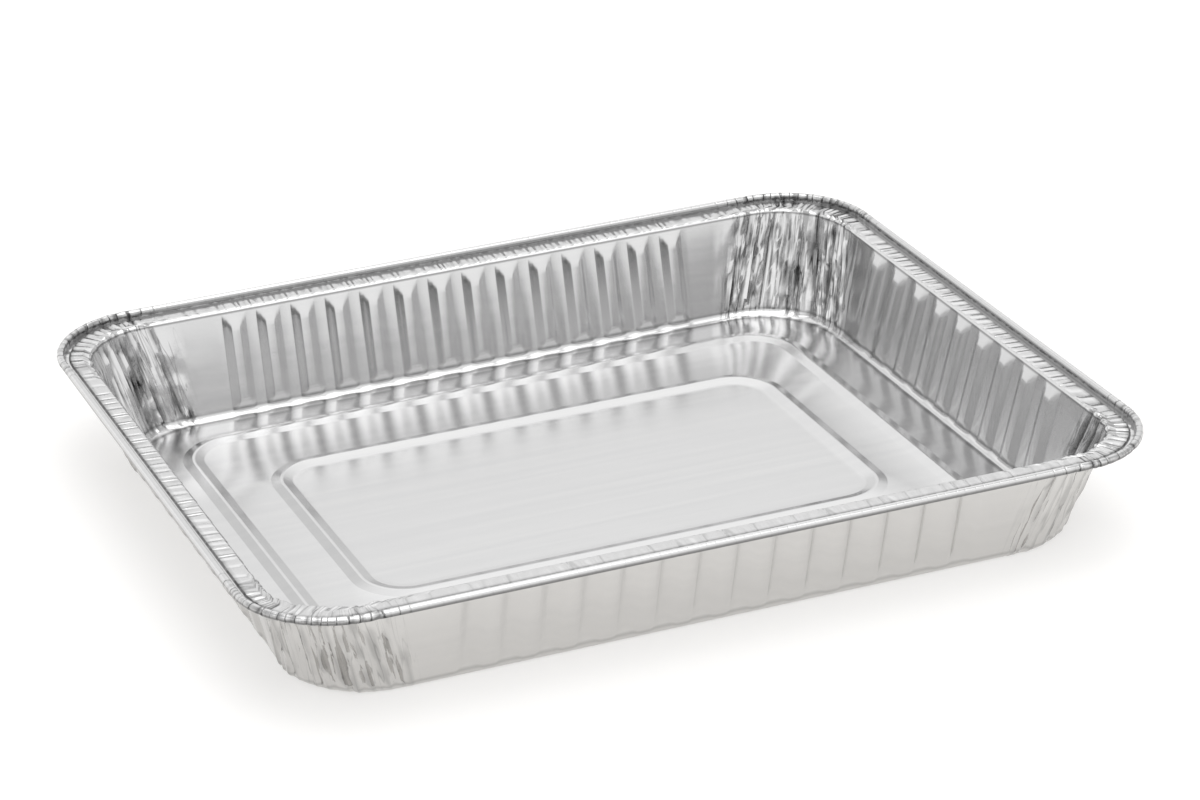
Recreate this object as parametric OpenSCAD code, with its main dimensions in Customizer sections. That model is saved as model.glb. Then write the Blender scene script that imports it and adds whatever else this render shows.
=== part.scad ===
// Shallow half-size foil steam-table tray, pressed in one piece from one sheet of aluminium foil.
// X is the long way, Y the short way, Z up; the origin is the middle of the underside.

/* [Tray] */
// Outside length over the rolled edge
pan_l = 324; // [260:1:400]
// Outside width over the rolled edge
pan_w = 264; // [200:1:330]
// Height from the table to the top of the rolled edge
pan_h = 40.5; // [30:0.5:90]
// Thickness of the foil
foil_t = 0.12; // [0.08:0.01:0.3]

/* [Rim] */
// Width of the rim, from the wall to the outside of the roll
rim_w = 11.5; // [9:0.5:16]
// Plan radius of the rim's outer corners
rim_corner_r = 35; // [20:1:50]
// Outside radius of the rolled edge
curl_r = 1.4; // [1:0.1:2]
// How far the flat of the rim lies below the top of the roll
flange_drop = 2.5; // [2:0.1:4]
// Width of the gutter between the flat and the roll
gutter_w = 1.5; // [1:0.1:2.5]
// Depth of that gutter below the flat
gutter_d = 0.5; // [0.2:0.1:1]
// Bend radius of the lip where the wall turns into the rim
lip_r = 1.3; // [0.6:0.1:2]

/* [Walls] */
// Lean of the walls out from upright, so that trays nest
wall_lean = 14; // [5:1:25]
// Plan radius of the wall's corners at the mouth
mouth_corner_r = 27; // [18:1:40]
// Plan radius of the corners at the foot of the wall
foot_corner_r = 29; // [18:1:40]
// Bend radius between floor and wall
foot_r = 3; // [2:0.5:8]
// Depth of the gathers in each corner of the wall
gather_d = 0.5; // [0.2:0.1:1]

/* [Stiffening ridges] */
// Ridges pressed into each long wall
long_ridges = 14; // [8:1:18]
// Ridges pressed into each short wall
short_ridges = 9; // [5:1:12]
// Share of the straight wall that carries ridges
ridged_share = 0.755; // [0.5:0.005:0.9]
// Width of a ridge as a share of the spacing
ridge_share = 0.69; // [0.5:0.01:0.85]
// Width of the flat crest as a share of the ridge
crest_share = 0.34; // [0.2:0.01:0.5]
// How far a ridge stands into the tray
ridge_d = 1.6; // [0.6:0.1:2.5]
// Plain wall left above the ridges
ridge_top_gap = 0.6; // [0.4:0.1:6]
// Plain wall left below the ridges
ridge_foot_gap = 0.6; // [0.4:0.1:4]
// Length of the slope from a ridge's crest up to the lip
ridge_top_end = 4.6; // [2:0.1:8]
// Length of the slope from a ridge's crest down to the floor
ridge_foot_end = 3; // [2:0.1:8]

/* [Floor beads] */
// Width of a floor bead
bead_w = 8; // [4:0.5:12]
// Height of a floor bead
bead_h = 0.9; // [0.6:0.1:2.5]
// Outer bead's middle, in from the foot of the short walls
outer_bead_in_l = 19; // [12:0.5:26]
// Outer bead's middle, in from the foot of the long walls
outer_bead_in_w = 15.5; // [12:0.5:26]
// Plan radius of the outer bead's corners
outer_bead_r = 18; // [10:1:26]
// Inner bead's middle, in from the foot of the short walls
inner_bead_in_l = 42.5; // [34:0.5:55]
// Inner bead's middle, in from the foot of the long walls, before it is set back
inner_bead_in_w = 53.5; // [34:0.5:60]
// How far the inner bead lies towards the back wall
inner_bead_back = 6.5; // [0:0.5:8]
// Plan radius of the inner bead's corners
inner_bead_r = 16; // [8:1:24]

/* [Hidden] */
corner_steps = 10;
foot_steps = 3;
lip_steps = 3;
curl_steps = 9;
curl_turn = 285;

// Heights of the flat of the rim, of its gutter and of the wall's two ends.
flange_z = pan_h - flange_drop;
gutter_z = flange_z - gutter_d;
mouth_z = flange_z - lip_r * (1 - sin(wall_lean));
foot_z = foil_t + foot_r * (1 - sin(wall_lean));

// Distances in from the outside of the tray to the wall's two ends.
mouth_in = rim_w;
foot_in = mouth_in + (mouth_z - foot_z) * tan(wall_lean);
floor_in = foot_in + foot_r * cos(wall_lean);

// A row is [in from the ends, in from the sides, plan corner radius, height] on the upper skin.
function level(inset, r, z) = [inset, inset, r, z];

function bead(in_l, in_w, r) = [
    for (k = [-2 : 2])
        [in_l - k * bead_w / 4, in_w - k * bead_w / 4, r + k * bead_w / 4,
         foil_t + bead_h * (1 + cos(k * 90)) / 2]
];

function foot_bend() = [
    for (k = [0 : foot_steps])
        let (a = k * (90 - wall_lean) / foot_steps)
            level(floor_in - foot_r * sin(a), foot_corner_r, foil_t + foot_r * (1 - cos(a)))
];

function lip_bend() = [
    for (k = [0 : lip_steps])
        let (a = (90 - wall_lean) * (1 - k / lip_steps))
            level(mouth_in - lip_r * (sin(90 - wall_lean) - sin(a)),
                  mouth_corner_r + lip_r * (sin(90 - wall_lean) - sin(a)),
                  flange_z - lip_r * (1 - cos(a)))
];

function roll() = [
    for (k = [0 : curl_steps])
        let (a = 180 - k * curl_turn / curl_steps)
            level(curl_r * (1 - cos(a)), rim_corner_r - curl_r * (1 - cos(a)),
                  pan_h - curl_r * (1 - sin(a)))
];

function gutter() = [
    level(2 * curl_r + gutter_w + gutter_d, rim_corner_r - 2 * curl_r - gutter_w - gutter_d, flange_z),
    level(2 * curl_r + gutter_w, rim_corner_r - 2 * curl_r - gutter_w, gutter_z),
    level(2 * curl_r, rim_corner_r - 2 * curl_r, gutter_z)
];

// The sloping wall between its two bends, with a row at each end of the ridges.
function on_wall(z) =
    let (s = (z - foot_z) / (mouth_z - foot_z))
        level(foot_in + s * (mouth_in - foot_in), foot_corner_r + s * (mouth_corner_r - foot_corner_r), z);

ridge_z = [foot_z + ridge_foot_gap, mouth_z - ridge_top_gap];

rows = concat(
    bead(floor_in + inner_bead_in_l, floor_in + inner_bead_in_w, inner_bead_r),
    bead(floor_in + outer_bead_in_l, floor_in + outer_bead_in_w, outer_bead_r),
    foot_bend(),
    [for (z = ridge_z) on_wall(z)],
    lip_bend(),
    gutter(),
    roll());
last = len(rows) - 1;
bead_rows = 5;
foot_row = 2 * bead_rows + foot_steps;

// The under skin lies one foil thickness behind the upper one, square to the section.
function run(i) = let (d = [rows[i][0] - rows[i + 1][0], rows[i + 1][3] - rows[i][3]]) d / norm(d);
function behind(i) =
    let (d = run(max(i - 1, 0)) + run(min(i, last - 1)), n = [d[1], -d[0]] / norm(d),
         c = n * [run(min(i, last - 1))[1], -run(min(i, last - 1))[0]])
        n * foil_t / c;
under_rows = [
    for (i = [0 : last])
        let (n = behind(i), p = rows[i])
            [p[0] - n[0], p[1] - n[0], p[2] + n[0], p[3] + n[1]]
];

// One closed loop of a row: four corners, anticlockwise from the back right.
corner_points = corner_steps + 1;
loop_points = 4 * corner_points;
function gather(i, j) =
    j % 2 == 0 ? 0 : i == foot_row + 1 ? gather_d / 3 : i == foot_row + 2 ? gather_d : 0;
function loop(p, i) = [
    for (q = [0 : 3])
        for (j = [0 : corner_steps])
            let (a = 90 * (q + j / corner_steps), r = p[2] - gather(i, j),
                 cx = pan_l / 2 - p[0] - p[2], cy = pan_w / 2 - p[1] - p[2],
                 back = i < bead_rows ? inner_bead_back : 0)
                [(q == 0 || q == 3 ? cx : -cx) + r * cos(a), (q < 2 ? cy : -cy) + back + r * sin(a), p[3]]
];

// Ridges of one wall: q is 0 at the back, 1 left, 2 front, 3 right.
function ridges(q) = q % 2 == 0 ? long_ridges : short_ridges;
function straight(q) = (q % 2 == 0 ? pan_l : pan_w) - 2 * rim_w - 2 * mouth_corner_r;
function pitch(q) = straight(q) * ridged_share / (ridges(q) - 1 + ridge_share);
function wall_point(q, along, z, d, skin) =
    let (inset = on_wall(z)[0] + (skin == 0 ? 0 : -foil_t / cos(wall_lean)) + d / cos(wall_lean),
         out = (q % 2 == 0 ? pan_w : pan_l) / 2 - inset, a = 90 + 90 * q)
        [out * cos(a) - along * sin(a), out * sin(a) + along * cos(a), z];
function ridge(q, k, skin) =
    let (w = pitch(q) * ridge_share, c = w * crest_share,
         m = (k - (ridges(q) - 1) / 2) * pitch(q), lo = ridge_z[0], hi = ridge_z[1])
        [wall_point(q, m - w / 2, lo, 0, skin), wall_point(q, m + w / 2, lo, 0, skin),
         wall_point(q, m + w / 2, hi, 0, skin), wall_point(q, m - w / 2, hi, 0, skin),
         wall_point(q, m - c / 2, lo + ridge_foot_end, ridge_d, skin),
         wall_point(q, m + c / 2, lo + ridge_foot_end, ridge_d, skin),
         wall_point(q, m + c / 2, hi - ridge_top_end, ridge_d, skin),
         wall_point(q, m - c / 2, hi - ridge_top_end, ridge_d, skin)];

// All points: the loops of both skins, then eight to a ridge.
ridge_total = 2 * (long_ridges + short_ridges);
points = concat(
    [for (i = [0 : last]) each loop(rows[i], i)],
    [for (i = [0 : last]) each loop(under_rows[i], i)],
    [for (skin = [0, 1]) for (q = [0 : 3]) for (k = [0 : ridges(q) - 1]) each ridge(q, k, skin)]);

function at(skin, i, j) = (skin * (last + 1) + i) * loop_points + j % loop_points;
function before(q) = q == 0 ? 0 : before(q - 1) + ridges(q - 1);
function on_ridge(skin, q, k, n) =
    2 * (last + 1) * loop_points + 8 * (skin * ridge_total + before(q) + k) + n;

// Faces: each is split into triangles, and turned round on the under skin.
function fan(f, skin) = [
    for (i = [1 : len(f) - 2]) skin == 0 ? [f[0], f[i], f[i + 1]] : [f[0], f[i + 1], f[i]]
];
function is_wall(i) = i >= foot_row && i < foot_row + 3;
function is_side(j) = j % corner_points == corner_steps;

function strip(skin, i) = [
    for (j = [0 : loop_points - 1])
        if (!(is_wall(i) && is_side(j)))
            each fan([at(skin, i, j), at(skin, i, j + 1), at(skin, i + 1, j + 1), at(skin, i + 1, j)], skin)
];

function ridge_faces(skin, q, k) = let (p = [for (n = [0 : 7]) on_ridge(skin, q, k, n)]) [
    for (n = [0 : 3])
        each fan([p[n], p[(n + 1) % 4], p[4 + (n + 1) % 4], p[4 + n]], skin),
    each fan([p[4], p[5], p[6], p[7]], skin)
];

function side_faces(skin, q) =
    let (a = q * corner_points + corner_steps, b = a + 1, n = ridges(q) - 1,
         r0 = foot_row, r1 = foot_row + 1, r2 = foot_row + 2, r3 = foot_row + 3) concat(
    fan(concat([at(skin, r0, a), at(skin, r0, b), at(skin, r1, b)],
        [for (k = [n : -1 : 0]) each [on_ridge(skin, q, k, 1), on_ridge(skin, q, k, 0)]],
        [at(skin, r1, a)]), skin),
    fan(concat([at(skin, r3, a), at(skin, r2, a)],
        [for (k = [0 : n]) each [on_ridge(skin, q, k, 3), on_ridge(skin, q, k, 2)]],
        [at(skin, r2, b), at(skin, r3, b)]), skin),
    fan([at(skin, r1, a), on_ridge(skin, q, 0, 0), on_ridge(skin, q, 0, 3), at(skin, r2, a)], skin),
    fan([on_ridge(skin, q, n, 1), at(skin, r1, b), at(skin, r2, b), on_ridge(skin, q, n, 2)], skin),
    [for (k = [0 : n - 1])
        each fan([on_ridge(skin, q, k, 1), on_ridge(skin, q, k + 1, 0),
                  on_ridge(skin, q, k + 1, 3), on_ridge(skin, q, k, 2)], skin)],
    [for (k = [0 : n]) each ridge_faces(skin, q, k)]);

faces = concat(
    fan([for (j = [loop_points - 1 : -1 : 0]) at(0, 0, j)], 0),
    fan([for (j = [loop_points - 1 : -1 : 0]) at(1, 0, j)], 1),
    [for (skin = [0, 1]) for (i = [0 : last - 1]) each strip(skin, i)],
    [for (skin = [0, 1]) for (q = [0 : 3]) each side_faces(skin, q)],
    [for (j = [0 : loop_points - 1])
        each fan([at(0, last, j), at(0, last, j + 1), at(1, last, j + 1), at(1, last, j)], 0)]);

module foil_tray() {
    color([0.78, 0.78, 0.79])
        polyhedron(points = [for (p = points) [for (v = p) round(v * 1000) / 1000]], faces = faces);
}

foil_tray();
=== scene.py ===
from math import atan2, cos, pi, radians, sin, sqrt, tan
from random import Random

import bmesh
import bpy
from mathutils import Matrix, Vector


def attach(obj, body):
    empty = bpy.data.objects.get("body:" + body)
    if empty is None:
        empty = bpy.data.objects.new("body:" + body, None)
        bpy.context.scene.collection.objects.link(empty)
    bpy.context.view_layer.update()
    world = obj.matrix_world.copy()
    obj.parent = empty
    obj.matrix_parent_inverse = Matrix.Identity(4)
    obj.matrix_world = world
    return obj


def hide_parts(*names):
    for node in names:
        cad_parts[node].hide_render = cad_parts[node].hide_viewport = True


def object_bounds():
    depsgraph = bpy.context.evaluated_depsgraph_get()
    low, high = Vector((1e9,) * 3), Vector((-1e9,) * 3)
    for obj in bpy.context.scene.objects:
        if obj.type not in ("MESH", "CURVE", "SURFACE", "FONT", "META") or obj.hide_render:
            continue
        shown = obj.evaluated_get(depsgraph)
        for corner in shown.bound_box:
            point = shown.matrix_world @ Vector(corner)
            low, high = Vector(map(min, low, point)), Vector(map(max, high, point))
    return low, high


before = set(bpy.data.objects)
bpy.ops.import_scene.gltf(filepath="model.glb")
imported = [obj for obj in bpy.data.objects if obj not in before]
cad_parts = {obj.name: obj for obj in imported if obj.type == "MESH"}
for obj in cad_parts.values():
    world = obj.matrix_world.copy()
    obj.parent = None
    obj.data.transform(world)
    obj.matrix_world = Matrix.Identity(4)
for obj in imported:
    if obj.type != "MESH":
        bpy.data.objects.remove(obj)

cad_low, cad_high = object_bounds()
scene = bpy.context.scene


# The camera. A long lens, standing in front of the tray a little to its left and
# looking down into it, hand held and so a touch off level.
turn, lift, tilt = radians(-23.19), radians(24.63), radians(-0.906)
stand_off, across, raised = 1.4666, 0.00514, 0.03084
back = Vector((sin(turn) * cos(lift), -cos(turn) * cos(lift), sin(lift)))
level = Vector((0, 0, 1)).cross(back).normalized()
upward = back.cross(level)
side_on = cos(tilt) * level + sin(tilt) * upward
head_up = cos(tilt) * upward - sin(tilt) * level

camera = bpy.data.objects.new("camera", bpy.data.cameras.new("camera"))
camera.data.sensor_width = 36
camera.data.lens = 124.94
camera.data.clip_start, camera.data.clip_end = 0.05, 50
place = Matrix((side_on, head_up, back)).transposed().to_4x4()
place.translation = back * stand_off + side_on * across + head_up * raised
camera.matrix_world = place
scene.collection.objects.link(camera)
scene.camera = camera


# The table: one seamless sheet of matt white card, far wider than the tray, so that
# nothing but the tray and its soft shadow shows.
class Reckon:
    """A socket that can be reckoned with: each sum adds the Math node that does it."""

    def __init__(self, tree, socket):
        self.tree, self.socket = tree, socket

    def maths(self, what, *others):
        return add_node(self.tree, "ShaderNodeMath", {"operation": what},
                        dict(enumerate((self,) + others)))[0]

    def __add__(self, other):
        return self.maths("ADD", other)

    def __sub__(self, other):
        return self.maths("SUBTRACT", other)

    def __rsub__(self, other):
        return add_node(self.tree, "ShaderNodeMath", {"operation": "SUBTRACT"},
                        {0: other, 1: self})[0]

    def __mul__(self, other):
        return self.maths("MULTIPLY", other)

    def __truediv__(self, other):
        return self.maths("DIVIDE", other)

    def between(self, low, high):
        """Rises smoothly from nought at low to one at high."""
        return add_node(self.tree, "ShaderNodeMapRange", {"interpolation_type": "SMOOTHSTEP"},
                        {"Value": self, "From Min": low, "From Max": high})[0]

    __radd__, __rmul__ = __add__, __mul__


def add_node(tree, kind, settings, inputs):
    """Adds a node: its settings first, then values or links. Gives back its outputs."""
    node = tree.nodes.new(kind)
    for name, value in settings.items():
        setattr(node, name, value)
    for name, value in inputs.items():
        if isinstance(value, Reckon):
            tree.links.new(value.socket, node.inputs[name])
        else:
            node.inputs[name].default_value = value
    return [Reckon(tree, out) for out in node.outputs]


def new_material(name, **sockets):
    """A material whose Principled shader has these constant values."""
    made = bpy.data.materials.new(name)
    made.use_nodes = True
    shader = made.node_tree.nodes["Principled BSDF"]
    for socket, value in sockets.items():
        shader.inputs[socket.replace("_", " ")].default_value = value
    return made, made.node_tree, shader


def finished_piece(name, mesh, made_of):
    """Turns a bmesh into an object at the origin, made of one material."""
    data = bpy.data.meshes.new(name)
    mesh.to_mesh(data)
    mesh.free()
    data.materials.append(made_of)
    piece = bpy.data.objects.new(name, data)
    scene.collection.objects.link(piece)
    return piece


white_card, tree, shader = new_material("white_card", Roughness=0.85, Specular_IOR_Level=0.2,
                                        Emission_Color=(1, 0.994, 0.985, 1), Emission_Strength=0.50)
where = add_node(tree, "ShaderNodeTexCoord", {}, {})[3]
tooth = add_node(tree, "ShaderNodeTexNoise", {}, {"Vector": where, "Scale": 900.0, "Detail": 2.0})
grain = add_node(tree, "ShaderNodeMix", {"data_type": "RGBA"},
                 {0: tooth[0], 6: (0.50, 0.495, 0.49, 1), 7: (0.53, 0.525, 0.52, 1)})
tree.links.new(grain[2].socket, shader.inputs["Base Color"])

card = bmesh.new()
bmesh.ops.create_grid(card, x_segments=8, y_segments=8, size=6)
table = finished_piece("table", card, white_card)


# The light: a white room that the foil mirrors, with broad brighter patches overhead,
# behind, in front and at the left, and a dark one low down at the front left. One large
# soft lamp gives the tray its shadow.
world = bpy.data.worlds.new("room")
world.use_nodes = True
scene.world = world
tree = world.node_tree
looking = add_node(tree, "ShaderNodeTexCoord", {}, {})[0]
east, north, sky = add_node(tree, "ShaderNodeSeparateXYZ", {}, {0: looking})


def toward(x, y, z, near, far):
    """One when looking along this direction, nought when well away from it."""
    size = sqrt(x * x + y * y + z * z)
    return (east * (x / size) + north * (y / size) + sky * (z / size)).between(far, near)


# Each patch is how much brighter it is, its direction, and the cosines of the angles
# from it where it is full and where it has gone.
patches = ((0.38, 0.3, 0.85, 0.45, 0.96, 0.5), (0.40, -0.55, 0.8, 0.2, 0.98, 0.85),
           (0.55, 0.35, -0.9, 0.3, 0.95, 0.6), (1.5, 0.05, -0.3, 0.9, 0.97, 0.86),
           (0.65, -0.7, -0.5, 0.5, 0.96, 0.8), (0.34, 0.3, 0.58, 0.76, 0.985, 0.9),
           (-0.64, -0.52, -0.85, 0.04, 0.98, 0.86))
glow = 0.66
for brighter, x, y, z, full, gone in patches:
    glow = glow + brighter * toward(x, y, z, full, gone)
by_camera = add_node(tree, "ShaderNodeLightPath", {}, {})[0]
strength = glow * (1 - by_camera) + 1.0 * by_camera
tree.links.new(strength.socket, tree.nodes["Background"].inputs["Strength"])
tree.nodes["Background"].inputs["Color"].default_value = (1, 1, 1, 1)


def soft_lamp(name, at, aim, wide, high, watts):
    lamp = bpy.data.lights.new(name, "AREA")
    lamp.shape, lamp.size, lamp.size_y, lamp.energy = "RECTANGLE", wide, high, watts
    holder = bpy.data.objects.new(name, lamp)
    holder.location = at
    holder.rotation_euler = (Vector(aim) - Vector(at)).to_track_quat("-Z", "Y").to_euler()
    scene.collection.objects.link(holder)


soft_lamp("overhead", (-0.05, 0.2, 2.2), (0, 0, 0), 1.8, 1.4, 9)
scene.view_settings.view_transform = "Standard"
scene.view_settings.exposure = 0.0


# The foil tray: one sheet of soft aluminium, pressed between dies. The press draws the
# ridges and floor beads, the spare foil gathers into sharp pleats at the four corners,
# and the edge is rolled under to make the rim stiff and safe to hold.
MM = 0.001
half_l, half_w = cad_high[0] / MM, cad_high[1] / MM
top = cad_high[2] / MM
foil = 0.12
rim, roll_r, rim_round = 11.5, 1.4, 35
flat_z, groove_z = top - 2.5, top - 3.0
lip_r, mouth_round = 1.3, 27
foot_r, foot_round = 3, 29
lean = radians(14)
mouth_z = flat_z - lip_r * (1 - sin(lean))
foot_z = foil + foot_r * (1 - sin(lean))
foot_in = rim + (mouth_z - foot_z) * tan(lean)
floor_in = foot_in + foot_r * cos(lean)
wall_run = (mouth_z - foot_z) / cos(lean)
foot_run, lip_run = 4, 1.6
front_rise = 0.9  # how much higher the flange lies along the front

# The middle of each floor bead, in from the foot of the short walls and of the long
# ones. The inner bead lies nearer the back wall. A bead's section is (across, height).
inner_bead, inner_back, outer_bead = (42.5, 53.5), 6.5, (19, 15.5)
bead_section = ((-4, 0), (-3.6, 0.06), (-0.7, 0.82), (-0.35, 0.88),
                (0.35, 0.88), (0.7, 0.82), (3.6, 0.06), (4, 0))

# The tray is a little out of square. Each pair is how far a side is shifted at its
# middle, and how much more than that at its back or right end.
left_in, right_in, back_out = (0.3, 1.8), (0.55, 0.6), (0.6, 2.5)

ridges = (14, 9, 14, 9)
ridged_share, ridge_share, crest_share, ridge_depth = 0.755, 0.69, 0.34, 1.6
straight = [2 * (half - rim - mouth_round) for half in (half_l, half_w, half_l, half_w)]
pitch = [straight[q] * ridged_share / (ridges[q] - 1 + ridge_share) for q in range(4)]

# Columns run round the tray: fans at the corners, and on the sides two close ones at
# each crease of a ridge. Each is (side, angle or None, place along the side).
corner_fan, plain_fan, crease = 50, 14, 0.2


def side_stops(q):
    half, edge = straight[q] / 2, straight[q] * ridged_share / 2
    plain = [half - (half - edge) * (k / plain_fan) ** 1.4 for k in range(1, plain_fan)]
    across = pitch[q] * ridge_share / 2
    crest = across * crest_share
    ridged = []
    for k in range(ridges[q]):
        middle = (k - (ridges[q] - 1) / 2) * pitch[q]
        flank = (across + crest) / 2
        for here in (-across, -crest, crest, across):
            ridged += [middle + here - crease, middle + here + crease]
            ridged += [middle - flank] if here == -across else [middle + flank] if here == crest else []
        ridged += [middle + pitch[q] / 2] if k < ridges[q] - 1 else []
    return [-s for s in plain] + ridged + plain[::-1]


columns = []
for q in range(4):
    columns += [(q, radians(90 * (q + j / corner_fan)), 0) for j in range(corner_fan + 1)]
    columns += [(q, None, along) for along in side_stops(q)]
fine = len(columns)


def corner_reach(column):
    """Which corner is nearest, and how far past its start in millimetres of mouth."""
    q, angle, along = column
    arc = mouth_round * pi / 2
    if angle is not None:
        return q, (angle - radians(90 * q)) / (pi / 2) * arc
    if along < 0:
        return q, arc + straight[q] / 2 + along
    return (q + 1) % 4, along - straight[q] / 2


# Rows run from the middle of the floor out to the end of the roll. Each is (part, in
# from the ends, in from the sides, corner radius, height, how far up its part, facing).
def bead_rows(bead, bend):
    return [("floor", floor_in + bead[0] - k, floor_in + bead[1] - k, bend + k, foil + z, 0, (0, 1))
            for k, z in bead_section]


def same(part, inset, bend, z, up, facing=(0, 1)):
    return (part, inset, inset, bend, z, up, facing)


middle_rows = ([("floor", floor_in + 56, floor_in + 67, 6, foil, 0, (0, 1)),
                ("floor", floor_in + 48.5, floor_in + 59.5, 10.5, foil, 0, (0, 1))]
               + bead_rows(inner_bead, 16) + [same("floor", floor_in + 30.5, 18, foil, 0)]
               + bead_rows(outer_bead, 18)
               + [same("floor", floor_in + 9.5, 23, foil, 0), same("floor", floor_in + 6.5, 25.5, foil, 0)])

outer_rows = [same("floor", floor_in + 4, 27, foil, 0), same("floor", floor_in + 1.5, 28.5, foil, 0)]
for k in range(5):
    a = k * (pi / 2 - lean) / 4
    outer_rows.append(same("foot", floor_in - foot_r * sin(a), foot_round, foil + foot_r * (1 - cos(a)),
                           k / 4, (sin(a), cos(a))))
wall_stops = ([0.03, 0.07, 0.115] + [0.165 + 0.0525 * k for k in range(13)]
              + [0.845, 0.88, 0.915, 0.95, 0.98])
for s in wall_stops:
    outer_rows.append(same("wall", foot_in + s * (rim - foot_in),
                           foot_round + s * (mouth_round - foot_round),
                           foot_z + s * (mouth_z - foot_z), s, (cos(lean), sin(lean))))
for k in range(5):
    a = (pi / 2 - lean) * (1 - k / 4)
    reach = lip_r * (cos(lean) - sin(a))
    outer_rows.append(same("lip", rim - reach, mouth_round + reach, flat_z - lip_r * (1 - cos(a)),
                           k / 4, (sin(a), cos(a))))
for inset in (9.2, 7.8, 6.4, 5.4, 4.9):
    outer_rows.append(same("flange", inset, rim_round - inset, flat_z, inset))
for inset in (4.3, 3.7, 2.9):
    outer_rows.append(same("groove", inset, rim_round - inset, groove_z, inset))
roll_steps = 11
for k in range(roll_steps + 1):
    a = radians(180 - k * 285 / roll_steps)
    inset = roll_r * (1 - cos(a))
    outer_rows.append(same("roll", inset, rim_round - inset, top - roll_r * (1 - sin(a)),
                           k / roll_steps, (-cos(a), sin(a))))


# The gathers: at each corner sharp folds stand up the wall, drifting and changing
# height as they go, and carry on over the lip and across the rim.
def gathers(seed, low, high, steep, broad, drift):
    chance = Random(seed)
    folds, at, sign = [], low, 1
    while at < high:
        folds.append((at, chance.uniform(-drift, drift),
                      [sign * chance.uniform(0.1, 1) for _ in range(7)]))
        wide = sign > 0 if chance.random() < 0.8 else sign < 0
        at += chance.uniform(broad * 0.5, broad) if wide else chance.uniform(steep * 0.7, steep * 1.2)
        sign = -sign
    return folds


def fold_height(folds, reach, up):
    """Height of the folded sheet at this reach round the corner and height up the wall."""
    step = min(max(up, 0), 0.999) * 6
    k, part = int(step), step - int(step)
    before = None
    for at, drift, heights in folds:
        now = (at + drift * (up - 0.5), heights[k] * (1 - part) + heights[k + 1] * part)
        if now[0] > reach:
            if before is None:
                return 0
            t = (reach - before[0]) / max(now[0] - before[0], 0.01)
            return before[1] + t * (now[1] - before[1])
        before = now
    return 0


arc = mouth_round * pi / 2
wall_folds = [gathers(11 + q, -20, arc + 20, steep=0.9, broad=4.4, drift=2.4) for q in range(4)]
small_folds = [gathers(31 + q, -16, arc + 16, steep=0.9, broad=2.0, drift=6.0) for q in range(4)]
rim_folds = [gathers(51 + q, -18, arc + 18, steep=0.9, broad=3.4, drift=0) for q in range(4)]


def smooth(low, high, value):
    t = min(max((value - low) / (high - low), 0), 1)
    return t * t * (3 - 2 * t)


def side_share(column, side):
    """One along this side, falling evenly to nought round the corners at its ends."""
    q, angle, _ = column
    if angle is None:
        return 1 if q == side else 0
    return max(1 - abs(angle - radians(90 * (side + 1))) / (pi / 2), 0)


def relief(row, column):
    """How far the foil stands out of its plain shape, how crumpled it is, and how much painted shade
    darkens its colour there: in fold valleys, at the foot and lip bends, on the floor beads, in the rim's
    grooves and under the roll.
    """
    part, _, _, _, z, up, _ = row
    q, angle, along = column
    corner, reach = corner_reach(column)
    past = max(-reach, reach - arc, 0)
    crumple = 1 - smooth(0, 17, past)
    height, shade_paint = 0, 0
    if part in ("foot", "wall", "lip"):
        climb = {"foot": up * foot_run, "wall": foot_run + up * wall_run,
                 "lip": foot_run + wall_run + up * lip_run}[part]
        level_up = {"foot": 0, "wall": up, "lip": 1}[part]
        if angle is None:
            last = (ridges[q] - 1) / 2
            middle = pitch[q] * round(along / pitch[q] - last) + pitch[q] * last
            middle = min(max(middle, -last * pitch[q]), last * pitch[q])
            half = pitch[q] * ridge_share / 2
            flank = (half - abs(along - middle)) / (half * (1 - crest_share))
            foot_end = smooth(1.6, 7, climb)
            top_end = (4.2 + wall_run - climb) / 4.9
            height += ridge_depth * max(min(flank, foot_end, top_end, 1), 0)
        rise = smooth(0.5, 6, climb) * (1 - 0.5 * smooth(wall_run - 3, wall_run + 4, climb))
        folded = crumple * rise * (1.35 * fold_height(wall_folds[corner], reach, level_up)
                                   + 0.42 * fold_height(small_folds[corner], reach, level_up))
        height += folded
        # Painted shade: the colour darkens in the valleys of the folds, and in lines along the foot bend
        # and where the wall turns into the lip.
        shade_paint = 0.8 * smooth(0.1, 0.7, -folded)
        shade_paint += {("foot", 0): 0.75, ("foot", 1): 0.7, ("lip", 0): 0.85}.get((part, up), 0)
    # Painted shade on the slopes of the floor beads, darker towards the left side.
    if part == "floor" and foil + 0.03 < z < foil + 0.85:
        shade_paint = 0.06 + 0.2 * side_share(column, 1)
    if part in ("flange", "groove"):
        folded = crumple * (0.4 if part == "flange" else 0.25) * fold_height(rim_folds[corner], reach, 0.5)
        height += folded
        # Painted shade in the rim's fold valleys and along its grooves.
        shade_paint = smooth(0.05, 0.35, -folded) + {2.9: 0.55, 4.9: 0.8, 5.4: 0.35}.get(up, 0)
    if part == "lip":
        height += crumple * 0.3 * up * fold_height(rim_folds[corner], reach, 0.5)
    if part == "roll":
        height += crumple * 0.25 * min(fold_height(rim_folds[corner], reach, 0.2), 0)
        # Painted shade in the roll's dents, where it starts and in a dark line under it.
        shade_paint = smooth(0.03, 0.2, -height)
        shade_paint += {0: 0.6, 1: 0.4, 7: 0.75, 8: 0.97, 9: 0.9, 10: 0.6}.get(round(up * roll_steps), 0)
    return height, crumple, min(shade_paint, 1)


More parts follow.
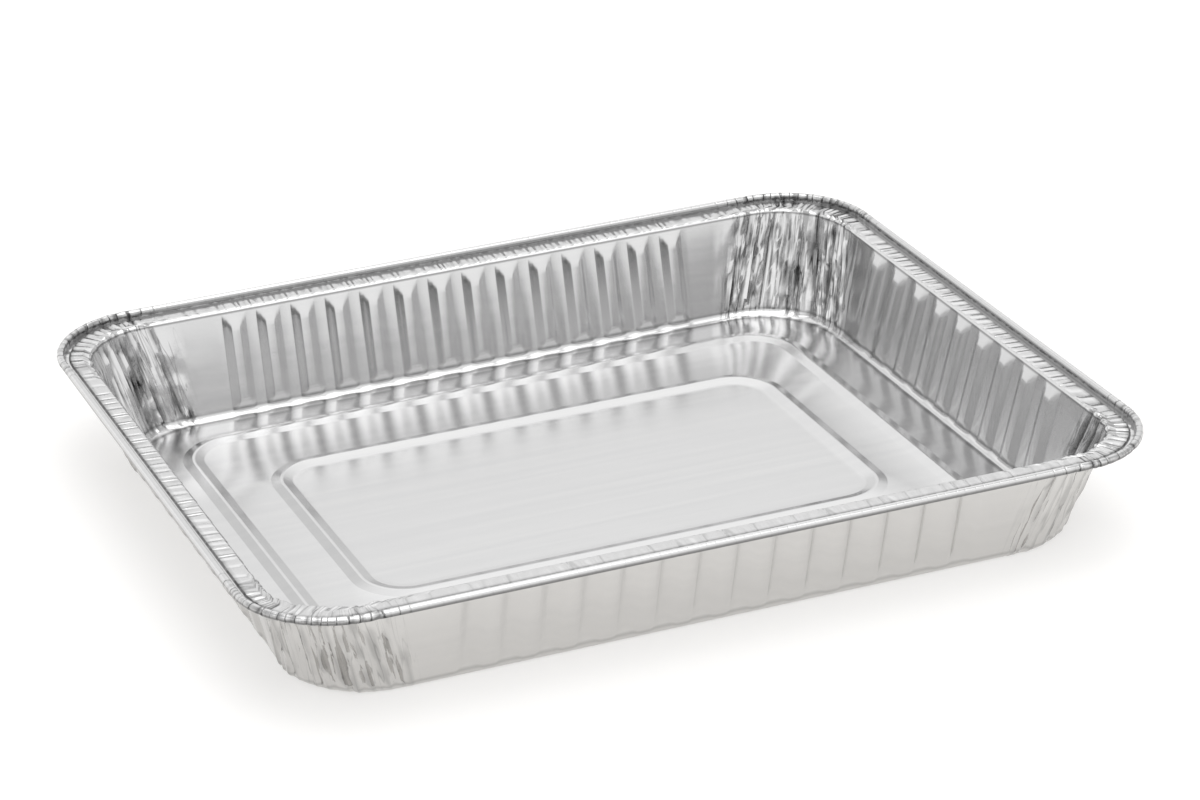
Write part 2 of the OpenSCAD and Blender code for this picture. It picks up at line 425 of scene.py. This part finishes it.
def spot(row, column):
    """Where a column crosses a row, in metres, with the height of the relief added."""
    part, in_l, in_w, bend, z, up, (inward, rising) = row
    q, angle, along = column
    height, crumple, shade_paint = relief(row, column)
    height = min(height, 0) if part == "roll" else height
    raised = {"wall": smooth(0.75, 1, up), "lip": 1, "flange": 1, "groove": 1}.get(part, 0)
    z += front_rise * smooth(0, 1, side_share(column, 2)) * raised
    if angle is not None:
        x = (half_l - in_l - bend) * (1 if q in (0, 3) else -1)
        y = (half_w - in_w - bend) * (1 if q < 2 else -1)
        out = (cos(angle), sin(angle))
        flat = (x + bend * out[0], y + bend * out[1])
    else:
        own, other = ((half_w, half_l), (half_l, half_w))[q % 2]
        own_in, other_in = ((in_w, in_l), (in_l, in_w))[q % 2]
        facing = radians(90 * (q + 1))
        out = (cos(facing), sin(facing))
        half, edge = straight[q] / 2, straight[q] * ridged_share / 2
        here = other - other_in - bend
        if part == "floor":
            along = along * here / half
        elif abs(along) > edge:
            along = (1 if along > 0 else -1) * (edge + (abs(along) - edge) * (here - edge) / (half - edge))
        flat = ((own - own_in) * out[0] - along * out[1], (own - own_in) * out[1] + along * out[0])
    if part == "floor":
        flat = (flat[0], flat[1] + inner_back * smooth(floor_in + 24, floor_in + 44, in_w))
    rightward, backward = flat[0] / half_l, flat[1] / half_w
    flat = (flat[0] + smooth(40, half_l, -flat[0]) * (left_in[0] + left_in[1] * backward)
            - smooth(40, half_l, flat[0]) * (right_in[0] + right_in[1] * backward),
            flat[1] + smooth(20, half_w, flat[1]) * (back_out[0] + back_out[1] * rightward))
    at = ((flat[0] - height * inward * out[0]) * MM, (flat[1] - height * inward * out[1]) * MM,
          max(z + height * rising, foil) * MM)
    return Vector(at), crumple, shade_paint


tray = bmesh.new()
column_of = tray.verts.layers.int.new("column")
row_of = tray.verts.layers.int.new("row")
crumpled = tray.verts.layers.float.new("crumpled")
# Painted shade: a value for each point that the foil's material reads to darken its colour.
painted_shade = tray.verts.layers.float.new("painted_shade")
crimped = tray.verts.layers.float.new("crimped")
nicked = tray.verts.layers.float.new("nicked")
ring_step = 3  # the floor has one column to each three of the wall's
first_outer = 100  # the number of the first outer row
crimp_share = 0.35


def lay_ring(verts, row, number):
    """Puts a ring's points where its row is, and sets what the foil's material reads."""
    for v in verts:
        v.co, corner_crumple, shade_paint = spot(row, columns[v[column_of] % fine])
        v[row_of], v[painted_shade] = number, shade_paint
        part, up = row[0], row[5]
        v[crumpled] = {"floor": 0, "foot": up, "wall": 1, "lip": 1, "flange": 0.7}.get(part, 0.3) * corner_crumple
        v[crimped] = crimp_share * (1 if part == "flange" else 0.7 if part == "lip" and up > 0.5 else 0)
        v[nicked] = 0.08 + 0.92 * corner_crumple if part == "roll" else 0


def start_ring(count, step, row, number, capped):
    ring = bmesh.ops.create_circle(tray, cap_ends=capped, segments=count, radius=1)["verts"]
    for k, v in enumerate(sorted(ring, key=lambda v: atan2(v.co.y, v.co.x) % (2 * pi))):
        v[column_of] = k * step
    lay_ring(ring, row, number)
    own = set(ring)
    return [e for e in tray.edges if e.verts[0] in own and e.verts[1] in own]


def draw_out(edges, rows, number):
    for k, row in enumerate(rows):
        made = bmesh.ops.extrude_edge_only(tray, edges=edges)["geom"]
        ring = {g for g in made if isinstance(g, bmesh.types.BMVert)}
        lay_ring(ring, row, number + k)
        edges = [g for g in made if isinstance(g, bmesh.types.BMEdge) and set(g.verts) <= ring]
    return edges


# The floor is drawn out from its middle. Its last ring is laid as an even circle, so that
# each edge can be cut into three and every new point still finds its column.
floor_edge = draw_out(start_ring(fine // ring_step, ring_step, middle_rows[0], 0, True),
                      middle_rows[1:] + outer_rows[:1], 1)
for v in {v for e in floor_edge for v in e.verts}:
    v.co = (cos(2 * pi * v[column_of] / fine), sin(2 * pi * v[column_of] / fine), 0)
split = bmesh.ops.subdivide_edges(tray, edges=floor_edge, cuts=ring_step - 1)["geom_inner"]
ring = {v for e in floor_edge for v in e.verts} | {g for g in split if isinstance(g, bmesh.types.BMVert)}
wall_edge = [e for e in tray.edges if e.is_boundary]
for v in ring:
    v[column_of] = round(atan2(v.co.y, v.co.x) / (2 * pi) * fine) % fine
lay_ring(ring, outer_rows[0], first_outer)
draw_out(wall_edge, outer_rows[1:], first_outer + 1)
bmesh.ops.recalc_face_normals(tray, faces=tray.faces)
if sum(f.normal.z * f.calc_area() for f in tray.faces) < 0:
    bmesh.ops.reverse_faces(tray, faces=tray.faces)

# Two maps in metres follow the sheet: one as it lay flat before pressing, for the
# rolling lines, and one round the rim, for the crimps.
sheet_map = tray.loops.layers.uv.new("sheet")
round_map = tray.loops.layers.uv.new("round")
run_to = {0: 0}
rows_by_number = {k: row for k, row in enumerate(middle_rows)}
rows_by_number.update({first_outer + k: row for k, row in enumerate(outer_rows)})
order = sorted(rows_by_number)
for before, now in zip(order, order[1:]):
    a, b = rows_by_number[before], rows_by_number[now]
    run_to[now] = run_to[before] + sqrt((a[1] - b[1]) ** 2 + (a[4] - b[4]) ** 2)
low_wall = [spot(outer_rows[12], column)[0] for column in columns]
steps = [(low_wall[k] - low_wall[k - 1]).length for k in range(fine)]
longest_step = 0.004
round_to = [0]
for k in range(1, fine + 1):
    round_to.append(round_to[-1] + min(steps[k % fine], longest_step))
for face in tray.faces:
    most = max(v[column_of] for v in face.verts)
    for loop in face.loops:
        v = loop.vert
        flat = Vector((v.co.x, v.co.y))
        row = rows_by_number[v[row_of]]
        stretch = (run_to[v[row_of]] - (rows_by_number[0][1] - row[1])) * MM
        q, angle, along = columns[v[column_of] % fine]
        out = radians(90 * (q + 1)) if angle is None else angle
        loop[sheet_map].uv = (flat.x + cos(out) * stretch, flat.y + sin(out) * stretch)
        turned = v[column_of] + (fine if most - v[column_of] > fine / 2 else 0)
        loop[round_map].uv = (round_to[min(turned, fine)], run_to[v[row_of]] * MM)
for face in tray.faces:
    face.smooth = True
sharp = radians(33)
for edge in tray.edges:
    if len(edge.link_faces) == 2 and edge.calc_face_angle(0) > sharp:
        edge.smooth = False

# The foil itself: bright rolled aluminium with a satin lay, fine lines along the sheet,
# small crinkles where the corners gather and a hatched, crimped rim. Its colour also
# carries painted shade, darkened towards near black in folds, bends, grooves and notches.
def texture(tree, kind, vector, scale, **inputs):
    stretched = add_node(tree, "ShaderNodeMapping", {}, {"Vector": vector, "Scale": scale})[0]
    return add_node(tree, "ShaderNodeTex" + kind, {}, {"Vector": stretched, "Scale": 1.0, **inputs})[0]


def foil_face(name, dim, bright, folds_and_shade):
    """One face of the sheet: its two tones, how far its folds and lines show, and how strong its painted
    shade is.
    """
    made, tree, shader = new_material(name, Metallic=1.0)
    sheet = add_node(tree, "ShaderNodeUVMap", {"uv_map": "sheet"}, {})[0]
    rounding = add_node(tree, "ShaderNodeUVMap", {"uv_map": "round"}, {})[0]
    crumple_mask, dark, crimping, nicking = [
        add_node(tree, "ShaderNodeAttribute", {"attribute_name": layer}, {})[2]
        for layer in ("crumpled", "painted_shade", "crimped", "nicked")]
    lines = texture(tree, "Noise", sheet, (60, 2600, 1), Detail=3.0)
    streaks = texture(tree, "Noise", sheet, (6, 260, 1), Detail=2.0)
    cloud = texture(tree, "Noise", sheet, (22, 30, 1), Detail=2.0)
    crinkle = texture(tree, "Voronoi", sheet, (330, 330, 1))
    pleat = texture(tree, "Noise", rounding, (420, 26, 1), Detail=1.0, Distortion=0.4)
    # Painted shade: thin dark lines along the pleats where the corners are crumpled.
    pleat_shade = 1 - (pleat - 0.5).maths("ABSOLUTE").between(0.0, 0.022)
    around, over, _ = add_node(tree, "ShaderNodeSeparateXYZ", {}, {0: rounding})
    wander = texture(tree, "Noise", rounding, (150, 40, 1), Detail=1.0)
    hatch = (around * 1000 + over * 900 + wander).maths("PINGPONG", 0.5)
    jump = texture(tree, "Noise", rounding, (260, 0.5, 1), Detail=0.0)
    crimp = (around * 1000 + over * 200 + jump * 9.0).maths("PINGPONG", 2.4)
    nick = (around * 1000 + wander * 6.0).maths("PINGPONG", 1.7).between(0.0, 0.3)
    height = (lines * 0.0025 + cloud * 0.16 + crumple_mask * (crinkle * 0.04 + pleat * 0.28 * folds_and_shade)
              + crimping * (hatch * 0.05 + crimp.between(0.0, 2.4) * 0.85) + nicking * nick * 0.16)
    bump = add_node(tree, "ShaderNodeBump", {}, {"Strength": 1.0, "Distance": 0.001, "Height": height})[0]
    tree.links.new(bump.socket, shader.inputs["Normal"])
    tree.links.new((0.125 + 0.06 * streaks + 0.04 * lines - 0.03 * crumple_mask).socket, shader.inputs["Roughness"])
    tone = add_node(tree, "ShaderNodeMix", {"data_type": "RGBA"}, {0: streaks, 6: dim, 7: bright})[2]
    # Painted shade in the notches between the rim's crimps.
    crimp_shade = crimping * (1 - crimp.between(0.1, 1.0)) * jump.between(0.42, 0.62) * 0.7
    # Painted shade: the colour is darkened towards near black by the mesh's shade values, the pleat and
    # crimp lines and the roll's small dents; the outer face gets less.
    painted_darkening = (dark * 0.8 + crumple_mask * pleat_shade * 0.5 + crimp_shade + nicking * (1 - nick) * 0.6) * folds_and_shade
    shaded = add_node(tree, "ShaderNodeMix", {"data_type": "RGBA"},
                      {0: painted_darkening, 6: tone, 7: (0.06, 0.06, 0.06, 1)})[2]
    tree.links.new(shaded.socket, shader.inputs["Base Color"])
    return made


inner_face = foil_face("bright_face", (0.60, 0.60, 0.605, 1), (0.67, 0.668, 0.665, 1), 1.0)
outer_face = foil_face("satin_face", (0.60, 0.592, 0.58, 1), (0.66, 0.65, 0.635, 1), 0.45)

foil_tray = finished_piece("foil_tray_sheet", tray, inner_face)
foil_tray.data.materials.append(outer_face)
thick = foil_tray.modifiers.new("gauge", "SOLIDIFY")
thick.thickness = foil * MM
thick.offset = -1
thick.material_offset = 1
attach(foil_tray, "root")
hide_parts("foil_tray")
